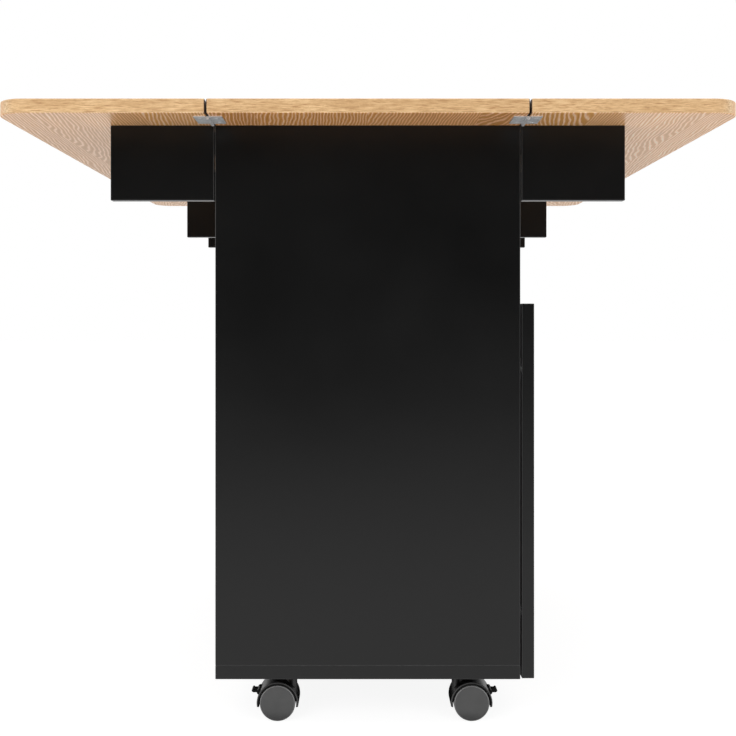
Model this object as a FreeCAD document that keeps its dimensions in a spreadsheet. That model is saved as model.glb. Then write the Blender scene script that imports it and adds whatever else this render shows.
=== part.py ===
"""Kitchen island on casters with two raised drop leaves, as one parametric document.

Axes: +X is the door side, +Y runs along the island away from the near end, +Z is up.
The origin is on the floor under the middle of the top. All sizes are in millimetres.
"""
import FreeCAD, Part

import os
import Sketcher
from FreeCAD import Placement, Rotation, Vector

doc = FreeCAD.newDocument("kitchen_island")

# Every driving size, with what it means. The cells hold plain numbers and the objects below are bound
# to their names, so one changed number moves everything that depends on it.
SIZES = [
    ("top_length", 1110, "length of the top along the island"),
    ("top_thickness", 20, "thickness of the centre top and of both leaves"),
    ("end_overhang", 87, "top beyond the outer face of each end panel"),
    ("body_width", 440, "width of the cabinet and of the centre top"),
    ("body_height", 799, "cabinet from the underside of the bottom panel to the top"),
    ("leaf_width", 289, "width of one drop leaf"),
    ("leaf_gap", 2, "joint between the centre top and a leaf"),
    ("leaf_corner", 40, "radius of the outer corners of a leaf, in plan"),
    ("top_round", 2, "rounding of the edges of the top boards"),
    ("edge_round", 1, "rounding of the edges of the painted boards"),
    ("board", 18, "thickness of the carcass boards"),
    ("floor_board", 20, "thickness of the bottom panel"),
    ("open_bay", 264, "clear length of the open bay between the partition and the far end panel"),
    ("back_inset", 25, "rear edges of the carcass to the face of the back panels"),
    ("back_board", 12, "thickness of the back panels"),
    ("rail_width", 70, "width of the flat rails under the top"),
    ("rail_setback", 24, "front edges of the carcass to the flat rails"),
    ("shelf_setback", 34, "front edges of the carcass to the shelf behind the doors"),
    ("open_shelf_setback", 4, "front edges of the carcass to the open shelves"),
    ("shelf_play", 1, "play of a shelf at each of its ends"),
    ("support_thickness", 15, "thickness of a leaf support"),
    ("support_length", 149, "length of a leaf support"),
    ("support_height", 108, "height of a leaf support"),
    ("support_gap", 2, "carcass edge to the inner end of a raised support"),
    ("support_drop", 0.3, "play between a support and the leaf it carries"),
    ("door_board", 18, "thickness of a door"),
    ("door_gap", 2.2, "front edges of the carcass to the back of a closed door"),
    ("door_height", 541, "height of a door"),
    ("door_lift", 1, "underside of the bottom panel to the lower edge of a door"),
    ("door_reveal", 1, "outer face of a panel to the hinge edge of its door"),
    ("door_split", 3, "joint between the two doors"),
    ("door_hinge_inset", 95, "end of a door to the middle of its hinge"),
    ("pivot_depth", 8.5, "back of a door to the pin of its hinges"),
    ("pivot_edge", 6.5, "hinge edge of a door to the pin of its hinges"),
    ("cup_radius", 17.5, "radius of the bore of a hinge cup"),
    ("cup_edge", 2, "hinge edge of a door to the bore of a hinge cup"),
    ("cup_depth", 13, "depth of the bore of a hinge cup"),
    ("cup_wall", 0.8, "sheet thickness of a hinge cup"),
    ("cup_pin_radius", 1.5, "radius of the pin of a door hinge"),
    ("arm_height", 10, "height of a door hinge arm"),
    ("arm_bar", 4, "thickness of a door hinge arm"),
    ("arm_plate_length", 52, "length of the foot of a door hinge arm"),
    ("arm_plate_height", 36, "height of the foot of a door hinge arm"),
    ("arm_plate", 2.5, "thickness of the foot of a door hinge arm"),
    ("handle_length", 128, "between the feet of a door handle"),
    ("handle_reach", 28, "face of a door to the middle of the handle bar"),
    ("handle_radius", 5, "radius of the handle bar"),
    ("handle_bend", 14, "radius of the bends of the handle bar"),
    ("handle_edge", 36, "free edge of a door to the middle of its handle"),
    ("handle_below", 70, "upper edge of a door to the upper foot of its handle"),
    ("butt_length", 49, "length of a hinge under the top"),
    ("butt_plate", 17, "width of one plate of a hinge under the top"),
    ("butt_sheet", 1.5, "sheet thickness of a hinge under the top"),
    ("butt_knuckle", 2.5, "radius of the knuckles of a hinge under the top"),
    ("butt_pin", 1.2, "radius of the pin of a hinge under the top"),
    ("butt_end", 44.5, "end of the top to the middle of its last hinge"),
    ("swing_length", 32, "length of a hinge of a leaf support"),
    ("swing_plate", 12, "width of one plate of a support hinge"),
    ("swing_sheet", 0.8, "sheet thickness of a support hinge"),
    ("swing_knuckle", 2.2, "radius of the knuckles of a support hinge"),
    ("swing_pin", 1.1, "radius of the pin of a support hinge"),
    ("swing_inset", 25, "end of a support to the middle of its hinge"),
    ("swing_play", 0.3, "support hinge knuckle to the face of the support beside it"),
    ("swing_off", 0.1, "support hinge knuckle to the edge of the carcass"),
    ("knuckle_gap", 0.25, "play between two knuckles"),
    ("running_fit", 0.05, "radial play of a pin that turns"),
    ("seat_fit", 0.02, "radial play of a pin that is pressed in"),
    ("shelf_place", 260, "floor of the cabinet to the underside of the shelf behind the doors"),
    ("open_shelf_low", 153, "floor of the cabinet to the underside of the lower open shelf"),
    ("open_shelf_high", 328, "floor of the cabinet to the underside of the upper open shelf"),
    ("shelf_pin_radius", 2.5, "radius of a shelf pin"),
    ("shelf_pin_length", 16, "length of a shelf pin, half of it in the board"),
    ("shelf_pin_inset", 37, "edge of a shelf to the middle of its pins"),
    ("catch_length", 44, "length of a magnetic catch"),
    ("catch_width", 14, "width of a magnetic catch"),
    ("catch_height", 12, "height of a magnetic catch"),
    ("catch_edge", 20, "free edge of a door to the middle of its catch"),
    ("catch_play", 0.3, "play between a catch and a closed door"),
    ("caster_height", 68, "floor to the underside of the bottom panel"),
    ("caster_rear", 107, "rear edge of the cabinet to the swivel axes beside it"),
    ("caster_front", 87, "front edge of the cabinet to the swivel axes beside it"),
    ("caster_inset", 42, "outer face of an end panel to the swivel axes"),
    ("trail", 19, "swivel axis of a caster to its axle"),
    ("wheel_radius", 26, "radius of a caster wheel"),
    ("wheel_width", 19, "width of one of the two wheels of a caster"),
    ("wheel_play", 1.5, "play between a wheel and the hood around it"),
    ("web", 8, "thickness of the wall of the hood between the two wheels"),
    ("web_play", 0.5, "play between a wheel and that wall"),
    ("hood_width", 46, "width of the hood along the axle"),
    ("hood_skin", 3, "thickness of the hood at its tips"),
    ("hood_ease", 2, "rounding of the outline of the hood"),
    ("hood_top", 2, "underside of the bottom panel to the top of the hood"),
    ("axle_radius", 3, "radius of a caster axle"),
    ("stem_radius", 5, "radius of a caster stem inside the hood"),
    ("stem_seat", 13.5, "length of a caster stem inside the hood"),
    ("stem_thread", 4, "radius of the threaded end of a caster stem"),
    ("insert_radius", 6, "radius of a threaded insert in the bottom panel"),
    ("insert_length", 15, "length of a threaded insert"),
    ("collar_radius", 9, "radius of the collar of a caster stem"),
    ("brake_width", 16, "width of a brake lever"),
    ("brake_barrel", 3.2, "radius of the barrel of a brake lever"),
    ("brake_lobe", 4.1, "pin of a brake lever to the tip of its lobe"),
    ("brake_pin", 1.5, "radius of the pin of a brake lever"),
]

sheet = doc.addObject("Spreadsheet::Sheet", "Sizes")
for row, (alias, number, meaning) in enumerate(SIZES, start=1):
    sheet.set(f"A{row}", meaning)
    sheet.set(f"B{row}", str(number))
    sheet.setAlias(f"B{row}", alias)
doc.recompute()

NAMES = sorted((alias for alias, number, meaning in SIZES), key=len, reverse=True)


def ex(text):
    """Expression text with every {name} turned into the cell of that name."""
    for alias in NAMES:
        text = text.replace("{" + alias + "}", "Sizes." + alias)
    return "(" + text + ")"


def bind(thing, **paths):
    """Tie properties of an object to expressions; a double underscore stands for a point in the path."""
    for path, text in paths.items():
        thing.setExpression(path.replace("__", "."), text)
    return thing


def at(thing, x, y, z):
    """Tie the position of an object to three expressions."""
    return bind(thing, Placement__Base__x=x, Placement__Base__y=y, Placement__Base__z=z)


ZERO = "0"

# Planes that several pieces share, as expressions of the named sizes.
HALF = ex("{body_width} / 2")
NEAR = ex("0 - {top_length} / 2 + {end_overhang}")
FAR = ex("{top_length} / 2 - {end_overhang}")
LENGTH = ex("{top_length} - 2 * {end_overhang}")
FLOOR = ex("{caster_height} + {floor_board}")
UNDER = ex("{caster_height} + {body_height}")
BAY_NEAR = f"({NEAR} + Sizes.board)"
BAY_FAR = f"({FAR} - Sizes.board)"
PART_FAR = f"({BAY_FAR} - Sizes.open_bay)"
PART_NEAR = f"({PART_FAR} - Sizes.board)"
BACK = ex("0 - {body_width} / 2 + {back_inset} + {back_board}")
DOOR_LOW = ex("{caster_height} + {door_lift}")
DOOR_TOP = f"({DOOR_LOW} + Sizes.door_height)"
DOOR_BACK = ex("{body_width} / 2 + {door_gap}")
DOOR_START = f"({NEAR} + Sizes.door_reveal)"
DOOR_END = f"({PART_FAR} - Sizes.door_reveal)"
DOOR_WIDE = f"(({DOOR_END} - {DOOR_START} - Sizes.door_split) / 2)"
NICHE = f"({DOOR_TOP} + Sizes.door_reveal)"
EDGES = [f"Edge{n}" for n in range(1, 13)]

BASE = {}
TURN = {
    "x": Rotation(Vector(0, 1, 0), 90),
    "y": Rotation(Vector(1, 0, 0), -90),
    "z": Rotation(),
}
ABOUT_X = Rotation(Vector(1, 0, 0), 180)
ABOUT_Y = Rotation(Vector(0, 1, 0), 180)
ABOUT_Z = Rotation(Vector(0, 0, 1), 180)


def board(name, x, y, z, along_x, along_y, along_z, rounding="edge_round"):
    """A flat board with eased edges, its lower corner at x, y, z."""
    body = doc.addObject("PartDesign::Body", name)
    blank = body.newObject("PartDesign::AdditiveBox", name + "_blank")
    bind(blank, Length=along_x, Width=along_y, Height=along_z)
    eased = body.newObject("PartDesign::Fillet", name + "_eased")
    eased.Base = (blank, EDGES)
    bind(eased, Radius=ex("{" + rounding + "}"))
    BASE[body.Name] = (x, y, z)
    return at(body, x, y, z)


def bore(body, axis, x, y, z, radius, depth):
    """A round blind hole in a board, given in the coordinates of the whole island."""
    base = BASE[body.Name]
    tool = body.newObject("PartDesign::SubtractiveCylinder", body.Name + "_bore")
    tool.Placement = Placement(Vector(), TURN[axis])
    bind(tool, Radius=radius, Height=depth)
    return at(tool, f"{x} - {base[0]}", f"{y} - {base[1]}", f"{z} - {base[2]}")


def bar(name, x, y, z, along_x, along_y, along_z):
    """A plain block for building up small metal and plastic parts."""
    block = doc.addObject("Part::Box", name)
    bind(block, Length=along_x, Width=along_y, Height=along_z)
    return at(block, x, y, z)


def rod(name, axis, x, y, z, radius, length):
    """A plain cylinder for building up small metal and plastic parts."""
    cylinder = doc.addObject("Part::Cylinder", name)
    cylinder.Placement = Placement(Vector(), TURN[axis])
    bind(cylinder, Radius=radius, Height=length)
    return at(cylinder, x, y, z)


def fuse(name, pieces):
    """Pieces joined into one solid."""
    joined = doc.addObject("Part::MultiFuse", name)
    joined.Shapes = pieces
    joined.Refine = True
    return joined


def cut(name, base, tools):
    """A solid less one tool or several."""
    tool = tools[0] if len(tools) == 1 else fuse(name + "_tools", tools)
    rest = doc.addObject("Part::Cut", name)
    rest.Base = base
    rest.Tool = tool
    rest.Refine = True
    return rest


def copy(name, source, x, y, z, turn=Rotation()):
    """A repeat of a finished piece, turned and set in its place."""
    link = doc.addObject("App::Link", name)
    link.LinkedObject = source
    link.LinkTransform = True
    link.Placement = Placement(Vector(), turn)
    return at(link, x, y, z)


def group(name, members):
    """Several separate solids that share one node."""
    compound = doc.addObject("Part::Compound", name)
    compound.Links = members
    return compound


nodes = {}

# The carcass: a full-length bottom panel with the two end panels and the partition standing on it.
RISE = ex("{body_height} - {floor_board}")
NEAR_BAY = f"({PART_NEAR} - {BAY_NEAR})"
FAR_BAY = f"({BAY_FAR} - {PART_FAR})"
LEFT = f"(0 - {HALF})"
WIDTH = ex("{body_width}")
THICK = ex("{board}")

bottom_panel = board("bottom_panel", LEFT, NEAR, ex("{caster_height}"), WIDTH, LENGTH, ex("{floor_board}"))
near_end_panel = board("near_end_panel", LEFT, NEAR, FLOOR, WIDTH, THICK, RISE)
far_end_panel = board("far_end_panel", LEFT, BAY_FAR, FLOOR, WIDTH, THICK, RISE)
partition = board("partition", LEFT, PART_NEAR, FLOOR, WIDTH, THICK, RISE)
nodes.update(bottom_panel=bottom_panel, near_end_panel=near_end_panel)
nodes.update(far_end_panel=far_end_panel, partition=partition)

BACK_FACE = ex("0 - {body_width} / 2 + {back_inset}")
BACK_BOARD = ex("{back_board}")
nodes["near_back_panel"] = board("near_back_panel", BACK_FACE, BAY_NEAR, FLOOR, BACK_BOARD, NEAR_BAY, RISE)
nodes["far_back_panel"] = board("far_back_panel", BACK_FACE, PART_FAR, FLOOR, BACK_BOARD, FAR_BAY, RISE)

# The niche floors sit at the height of the door tops. The flat rails tie the panels under the top.
DEEP = f"({HALF} - {BACK})"
NICHE_LOW = f"({NICHE} - Sizes.board)"
nodes["near_niche_floor"] = board("near_niche_floor", BACK, BAY_NEAR, NICHE_LOW, DEEP, NEAR_BAY, THICK)
nodes["far_niche_floor"] = board("far_niche_floor", BACK, PART_FAR, NICHE_LOW, DEEP, FAR_BAY, THICK)
RAIL_X = f"({HALF} - Sizes.rail_setback - Sizes.rail_width)"
RAIL_Z = f"({UNDER} - Sizes.board)"
RAIL = ex("{rail_width}")
near_rail = board("near_rail", RAIL_X, BAY_NEAR, RAIL_Z, RAIL, NEAR_BAY, THICK)
far_rail = board("far_rail", RAIL_X, PART_FAR, RAIL_Z, RAIL, FAR_BAY, THICK)
nodes["top_rails"] = group("top_rails", [near_rail, far_rail])

# Loose shelves on pins. Each pin is half in its board, so each shelf also drills its four holes.
PIN_R = ex("{shelf_pin_radius}")
PIN_HOLE = ex("{shelf_pin_radius} + {seat_fit}")
PIN_DEEP = ex("{shelf_pin_length} / 2 + {shelf_play} / 2")
pin = rod("shelf_pin", "y", ZERO, ex("0 - {shelf_pin_length} / 2"), ZERO, PIN_R, ex("{shelf_pin_length}"))
pins = []


def shelf(name, low, setback, start, end, near_board, far_board):
    """One loose shelf between two panels, with its pins and their holes."""
    z = f"({FLOOR} + Sizes.{low})"
    front = f"({HALF} - Sizes.{setback})"
    rear = f"({BACK} + Sizes.shelf_play)"
    wide = f"({end} - {start} - 2 * Sizes.shelf_play)"
    plate = board(name, rear, f"({start} + Sizes.shelf_play)", z, f"({front} - {rear})", wide, THICK)
    level = f"({z} - Sizes.shelf_pin_radius)"
    for x in (f"({front} - Sizes.shelf_pin_inset)", f"({rear} + Sizes.shelf_pin_inset)"):
        bore(near_board, "y", x, f"({start} - {PIN_DEEP})", level, PIN_HOLE, PIN_DEEP)
        bore(far_board, "y", x, end, level, PIN_HOLE, PIN_DEEP)
        pins.append(copy(name + "_pin", pin, x, start, level))
        pins.append(copy(name + "_pin", pin, x, end, level))
    nodes[name] = plate


shelf("cabinet_shelf", "shelf_place", "shelf_setback", BAY_NEAR, PART_NEAR, near_end_panel, partition)
shelf("lower_open_shelf", "open_shelf_low", "open_shelf_setback", PART_FAR, BAY_FAR, partition, far_end_panel)
shelf("upper_open_shelf", "open_shelf_high", "open_shelf_setback", PART_FAR, BAY_FAR, partition, far_end_panel)
nodes["shelf_pins"] = group("shelf_pins", pins)

# The top: a plain centre board and two leaves whose outer corners are rounded in plan.
TOP_NEAR = ex("0 - {top_length} / 2")
TOP_LONG = ex("{top_length}")
TOP_THICK = ex("{top_thickness}")
nodes["centre_top"] = board("centre_top", LEFT, TOP_NEAR, UNDER, WIDTH, TOP_LONG, TOP_THICK, "top_round")


def plane(body, role):
    """One of the origin planes of a body."""
    return [p for p in body.Origin.OriginFeatures if p.Role == role][0]


def sketch_on(body, name, role):
    """An empty sketch on an origin plane of a body."""
    sketch = body.newObject("Sketcher::SketchObject", name)
    sketch.AttachmentSupport = [(plane(body, role), "")]
    sketch.MapMode = "FlatFace"
    return sketch


def size(name):
    """Present number of a named size."""
    return float(sheet.get(name))


def leaf(name, x, y, turn):
    """A leaf: a rectangle with two rounded corners, padded and eased."""
    body = doc.addObject("PartDesign::Body", name)
    body.Placement = Placement(Vector(), turn)
    sketch = sketch_on(body, name + "_outline", "XY_Plane")
    wide, long, r = size("leaf_width"), size("top_length"), size("leaf_corner")
    line = Part.LineSegment
    half_pi = 1.5707963267948966
    up = Vector(0, 0, 1)
    near_arc = Part.ArcOfCircle(Part.Circle(Vector(wide - r, r, 0), up, r), -half_pi, 0)
    far_arc = Part.ArcOfCircle(Part.Circle(Vector(wide - r, long - r, 0), up, r), 0, half_pi)
    sketch.addGeometry(
        [
            line(Vector(0, 0, 0), Vector(wide - r, 0, 0)),
            near_arc,
            line(Vector(wide, r, 0), Vector(wide, long - r, 0)),
            far_arc,
            line(Vector(wide - r, long, 0), Vector(0, long, 0)),
            line(Vector(0, long, 0), Vector(0, 0, 0)),
        ],
        False,
    )
    rule = Sketcher.Constraint
    sketch.addConstraint(
        [
            rule("Coincident", 0, 1, -1, 1),
            rule("Coincident", 4, 2, 5, 1),
            rule("Coincident", 5, 2, 0, 1),
            rule("Tangent", 0, 2, 1, 1),
            rule("Tangent", 1, 2, 2, 1),
            rule("Tangent", 2, 2, 3, 1),
            rule("Tangent", 3, 2, 4, 1),
            rule("Horizontal", 0),
            rule("Vertical", 2),
            rule("Horizontal", 4),
            rule("Vertical", 5),
            rule("Equal", 1, 3),
        ]
    )
    for label, constraint, text in (
        ("corner", rule("Radius", 1, r), ex("{leaf_corner}")),
        ("long", rule("DistanceY", 5, 2, 5, 1, long), ex("{top_length}")),
        ("wide", rule("DistanceX", 5, 2, 2, 1, wide), ex("{leaf_width}")),
    ):
        index = sketch.addConstraint(constraint)
        sketch.renameConstraint(index, label)
        sketch.setExpression("Constraints." + label, text)
    pad = body.newObject("PartDesign::Pad", name + "_pad")
    pad.Profile = sketch
    bind(pad, Length=TOP_THICK)
    eased = body.newObject("PartDesign::Fillet", name + "_eased")
    eased.Base = (pad, ["Edge1"])
    eased.UseAllEdges = True
    bind(eased, Radius=ex("{top_round}"))
    nodes[name] = at(body, x, y, UNDER)


INNER = ex("{body_width} / 2 + {leaf_gap}")
leaf("left_leaf", f"(0 - {INNER})", ex("{top_length} / 2"), ABOUT_Z)
leaf("right_leaf", INNER, TOP_NEAR, Rotation())

# Three-knuckle hinges. Each is drawn once with its pin along Z: the outer knuckles belong to the plate
# on the cabinet, the middle one to the plate that swings.
def knuckled(name, flat, tab, spans, length, knuckle, hole):
    """One hinge plate: a flat, and at each span a tab that runs into a knuckle."""
    low = f"(0 - {length} / 2)"
    pieces = [bar(name + "_flat", flat[0], flat[1], low, flat[2], flat[3], length)]
    for start, end in spans:
        run = f"({end} - {start})"
        pieces.append(bar(name + "_tab", tab[0], tab[1], start, tab[2], tab[3], run))
        pieces.append(rod(name + "_knuckle", "z", ZERO, ZERO, start, knuckle, run))
    return cut(name, fuse(name + "_blank", pieces), [rod(name + "_hole", "z", ZERO, ZERO, low, hole, length)])


def spans(length):
    """The outer two thirds and the middle third of a hinge, with play between them."""
    third = f"({length} / 6)"
    gap = ex("{knuckle_gap} / 2")
    outer = [
        (f"(0 - {length} / 2)", f"(0 - {third} - {gap})"),
        (f"({third} + {gap})", f"({length} / 2)"),
    ]
    return outer, [(f"({gap} - {third})", f"({third} - {gap})")]


# The hinges under the top open flat: plates side by side against the underside, knuckles below it.
BUTT = ex("{butt_length}")
BUTT_K = ex("{butt_knuckle}")
BUTT_CLEAR = ex("{butt_knuckle} + {knuckle_gap}")
BUTT_SHEET = ex("{butt_sheet}")
BUTT_Y = ex("{butt_knuckle} - {butt_sheet}")
BUTT_HOLE = ex("{butt_pin} + {running_fit}")
BUTT_OUTER, BUTT_MIDDLE = spans(BUTT)
butt_fixed = knuckled(
    "butt_fixed",
    (f"(0 - {BUTT_CLEAR} - Sizes.butt_plate)", BUTT_Y, ex("{butt_plate}"), BUTT_SHEET),
    (f"(0 - {BUTT_CLEAR})", BUTT_Y, BUTT_CLEAR, BUTT_SHEET),
    BUTT_OUTER,
    BUTT,
    BUTT_K,
    BUTT_HOLE,
)
butt_moving = knuckled(
    "butt_moving",
    (BUTT_CLEAR, BUTT_Y, ex("{butt_plate}"), BUTT_SHEET),
    (ZERO, BUTT_Y, BUTT_CLEAR, BUTT_SHEET),
    BUTT_MIDDLE,
    BUTT,
    BUTT_K,
    BUTT_HOLE,
)
butt_pin = rod("butt_pin_rod", "z", ZERO, ZERO, f"(0 - {BUTT} / 2)", ex("{butt_pin}"), BUTT)

LIE_DOWN = Rotation(Vector(1, 0, 0), 90)
JOINT = ex("{body_width} / 2 + {leaf_gap} / 2")
JOINT_Z = f"({UNDER} - Sizes.butt_knuckle)"
# The inner hinges stand midway between the places that the folded supports take.
HINGE_ROWS = [
    ex("{butt_end} - {top_length} / 2"),
    f"(({NEAR} + Sizes.support_thickness + {PART_NEAR}) / 2)",
    f"(({PART_FAR} + {FAR} - Sizes.support_thickness - Sizes.support_length) / 2)",
    ex("{top_length} / 2 - {butt_end}"),
]
top_plates = []
top_pins = []
for side, x, turn in (("left", f"(0 - {JOINT})", ABOUT_Z), ("right", JOINT, Rotation())):
    swinging = []
    for y in HINGE_ROWS:
        way = turn.multiply(LIE_DOWN)
        top_plates.append(copy(side + "_top_plate", butt_fixed, x, y, JOINT_Z, way))
        top_pins.append(copy(side + "_top_pin", butt_pin, x, y, JOINT_Z, way))
        swinging.append(copy(side + "_leaf_plate", butt_moving, x, y, JOINT_Z, way))
    nodes[side + "_leaf_hinge_plates"] = group(side + "_leaf_hinge_plates", swinging)
nodes["top_hinge_plates"] = group("top_hinge_plates", top_plates)
nodes["top_hinge_pins"] = group("top_hinge_pins", top_pins)

# The supports fold sideways on hinges whose two plates lie face to face while a support is out.
SWING = ex("{swing_length}")
SWING_K = ex("{swing_knuckle}")
SWING_SHEET = ex("{swing_sheet}")
SWING_WIDE = ex("{swing_plate}")
SWING_CLEAR = ex("{swing_knuckle} + {swing_play}")
SWING_SIDE = ex("{swing_knuckle} + {swing_off}")
SWING_HOLE = ex("{swing_pin} + {running_fit}")
SWING_OUTER, SWING_MIDDLE = spans(SWING)
SWING_FAR = f"(0 - {SWING_CLEAR} - Sizes.swing_plate)"
SWING_INNER = f"(Sizes.support_gap - {SWING_SIDE} - Sizes.swing_sheet)"
swing_fixed = knuckled(
    "swing_fixed",
    (f"(0 - {SWING_SIDE})", SWING_FAR, SWING_SHEET, SWING_WIDE),
    (f"(0 - {SWING_SIDE})", f"(0 - {SWING_CLEAR})", SWING_SHEET, SWING_CLEAR),
    SWING_OUTER,
    SWING,
    SWING_K,
    SWING_HOLE,
)
swing_moving = knuckled(
    "swing_moving",
    (SWING_INNER, SWING_FAR, SWING_SHEET, SWING_WIDE),
    (SWING_INNER, f"(0 - {SWING_CLEAR})", SWING_SHEET, SWING_CLEAR),
    SWING_MIDDLE,
    SWING,
    SWING_K,
    SWING_HOLE,
)
swing_pin = rod("swing_pin_rod", "z", ZERO, ZERO, f"(0 - {SWING} / 2)", ex("{swing_pin}"), SWING)

SUPPORT_Z = f"({UNDER} - Sizes.support_drop - Sizes.support_height)"
SUPPORT_X = ex("{body_width} / 2 + {support_gap}")
SWING_X = f"({HALF} + {SWING_SIDE})"
PLY = ex("{support_thickness}")
# Each row: the near face of the support, and whether it folds towards the far end.
ROWS = (
    ("near", NEAR, True),
    ("middle", PART_NEAR, False),
    ("far", f"({FAR} - {PLY})", False),
)
support_plates = []
support_pins = []
for side in ("left", "right"):
    for row, y, folds_far in ROWS:
        name = f"{side}_{row}_support"
        x = SUPPORT_X if side == "right" else f"(0 - {SUPPORT_X} - Sizes.support_length)"
        nodes[name] = board(name, x, y, SUPPORT_Z, ex("{support_length}"), PLY, ex("{support_height}"))
        pin_x = SWING_X if side == "right" else f"(0 - {SWING_X})"
        pin_y = f"({y} + {PLY} + {SWING_CLEAR})" if folds_far else f"({y} - {SWING_CLEAR})"
        if side == "right":
            turn = Rotation() if folds_far else ABOUT_X
        else:
            turn = ABOUT_Y if folds_far else ABOUT_Z
        swinging = []
        for z in (
            f"({SUPPORT_Z} + Sizes.swing_inset)",
            f"({SUPPORT_Z} + Sizes.support_height - Sizes.swing_inset)",
        ):
            support_plates.append(copy(name + "_plate", swing_fixed, pin_x, pin_y, z, turn))
            support_pins.append(copy(name + "_pin", swing_pin, pin_x, pin_y, z, turn))
            swinging.append(copy(name + "_leaf", swing_moving, pin_x, pin_y, z, turn))
        nodes[name + "_hinges"] = group(name + "_hinges", swinging)
nodes["support_hinge_plates"] = group("support_hinge_plates", support_plates)
nodes["support_hinge_pins"] = group("support_hinge_pins", support_pins)

# The doors hang on cup hinges: the cup and its pin are let into the door, and a cranked arm reaches
# into the cup from a foot on the panel, so that nothing shows from the end.
CUP_HOLE = ex("{cup_radius}")
CUP_DEEP = ex("{cup_depth}")
CUP_OUT = ex("{cup_radius} - {seat_fit}")
CUP_IN = ex("{cup_radius} - {seat_fit} - {cup_wall}")
cup = cut(
    "hinge_cup",
    rod("cup_outer", "x", ZERO, ZERO, ZERO, CUP_OUT, ex("{cup_depth} - {seat_fit}")),
    [rod("cup_inner", "x", ZERO, ZERO, ZERO, CUP_IN, ex("{cup_depth} - {seat_fit} - {cup_wall}"))],
)
CUP_OFF = ex("{cup_radius} + {cup_edge} - {pivot_edge} + {cup_pin_radius}")
CUP_PIN_HALF = f"(sqrt({CUP_IN} * {CUP_IN} - {CUP_OFF} * {CUP_OFF}) - Sizes.running_fit)"
cup_pin = rod(
    "cup_pin_rod", "z", ZERO, ZERO, f"(0 - {CUP_PIN_HALF})", ex("{cup_pin_radius}"), f"(2 * {CUP_PIN_HALF})"
)

# The arm is drawn with its foot against the panel: X out of the cabinet, Y into the bay.
EYE_X = ex("{door_gap} + {pivot_depth}")
EYE_Y = ex("{pivot_edge} + {door_reveal} - {board}")
ARM_LOW = ex("0 - {arm_height} / 2")
ARM_TALL = ex("{arm_height}")
ARM_BAR = ex("{arm_bar}")
ARM_SIDE = ex("{arm_plate} - {shelf_play}")
arm_blank = fuse(
    "arm_blank",
    [
        bar(
            "arm_foot",
            ex("0 - {arm_plate_length} - 2 * {arm_bar}"),
            ZERO,
            ex("0 - {arm_plate_height} / 2"),
            ex("{arm_plate_length}"),
            ex("{arm_plate}"),
            ex("{arm_plate_height}"),
        ),
        bar(
            "arm_neck",
            ex("0 - 5 * {arm_bar}"),
            ARM_SIDE,
            ARM_LOW,
            f"({EYE_X} + 5.5 * {ARM_BAR})",
            ARM_BAR,
            ARM_TALL,
        ),
        bar(
            "arm_crank",
            f"({EYE_X} - {ARM_BAR} / 2)",
            EYE_Y,
            ARM_LOW,
            ARM_BAR,
            f"({ARM_SIDE} + {ARM_BAR} - {EYE_Y})",
            ARM_TALL,
        ),
        rod("arm_eye", "z", EYE_X, EYE_Y, ARM_LOW, ex("{arm_bar} / 2 + {cup_wall} / 2"), ARM_TALL),
    ],
)
arm = cut(
    "hinge_arm",
    arm_blank,
    [rod("arm_hole", "z", EYE_X, EYE_Y, ARM_LOW, ex("{cup_pin_radius} + {running_fit}"), ARM_TALL)],
)

DOOR_FACE = f"({DOOR_BACK} + Sizes.door_board)"
HINGE_LEVELS = (f"({DOOR_LOW} + Sizes.door_hinge_inset)", f"({DOOR_TOP} - Sizes.door_hinge_inset)")


def handle_bar(name):
    """A bent bar with two straight feet, swept along its own bow."""
    body = doc.addObject("PartDesign::Body", name)
    path = sketch_on(body, name + "_bow", "XZ_Plane")
    reach, long, r = size("handle_reach"), size("handle_length"), size("handle_bend")
    line = Part.LineSegment
    half_pi = 1.5707963267948966
    up = Vector(0, 0, 1)
    path.addGeometry(
        [
            line(Vector(0, 0, 0), Vector(reach - r, 0, 0)),
            Part.ArcOfCircle(Part.Circle(Vector(reach - r, r, 0), up, r), -half_pi, 0),
            line(Vector(reach, r, 0), Vector(reach, long - r, 0)),
            Part.ArcOfCircle(Part.Circle(Vector(reach - r, long - r, 0), up, r), 0, half_pi),
            line(Vector(reach - r, long, 0), Vector(0, long, 0)),
        ],
        False,
    )
    rule = Sketcher.Constraint
    path.addConstraint(
        [
            rule("Coincident", 0, 1, -1, 1),
            rule("Tangent", 0, 2, 1, 1),
            rule("Tangent", 1, 2, 2, 1),
            rule("Tangent", 2, 2, 3, 1),
            rule("Tangent", 3, 2, 4, 1),
            rule("Horizontal", 0),
            rule("Vertical", 2),
            rule("Horizontal", 4),
            rule("PointOnObject", 4, 2, -2),
            rule("Equal", 1, 3),
        ]
    )
    for label, constraint, text in (
        ("bend", rule("Radius", 1, r), ex("{handle_bend}")),
        ("long", rule("DistanceY", 0, 1, 4, 2, long), ex("{handle_length}")),
        ("reach", rule("DistanceX", 0, 1, 2, 1, reach), ex("{handle_reach}")),
    ):
        index = path.addConstraint(constraint)
        path.renameConstraint(index, label)
        path.setExpression("Constraints." + label, text)
    ring = sketch_on(body, name + "_section", "YZ_Plane")
    ring.addGeometry(Part.Circle(Vector(0, 0, 0), up, size("handle_radius")), False)
    ring.addConstraint(rule("Coincident", 0, 3, -1, 1))
    index = ring.addConstraint(rule("Radius", 0, size("handle_radius")))
    ring.renameConstraint(index, "round")
    ring.setExpression("Constraints.round", ex("{handle_radius}"))
    pipe = body.newObject("PartDesign::AdditivePipe", name + "_pipe")
    pipe.Profile = ring
    pipe.Spine = path
    return body


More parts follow.
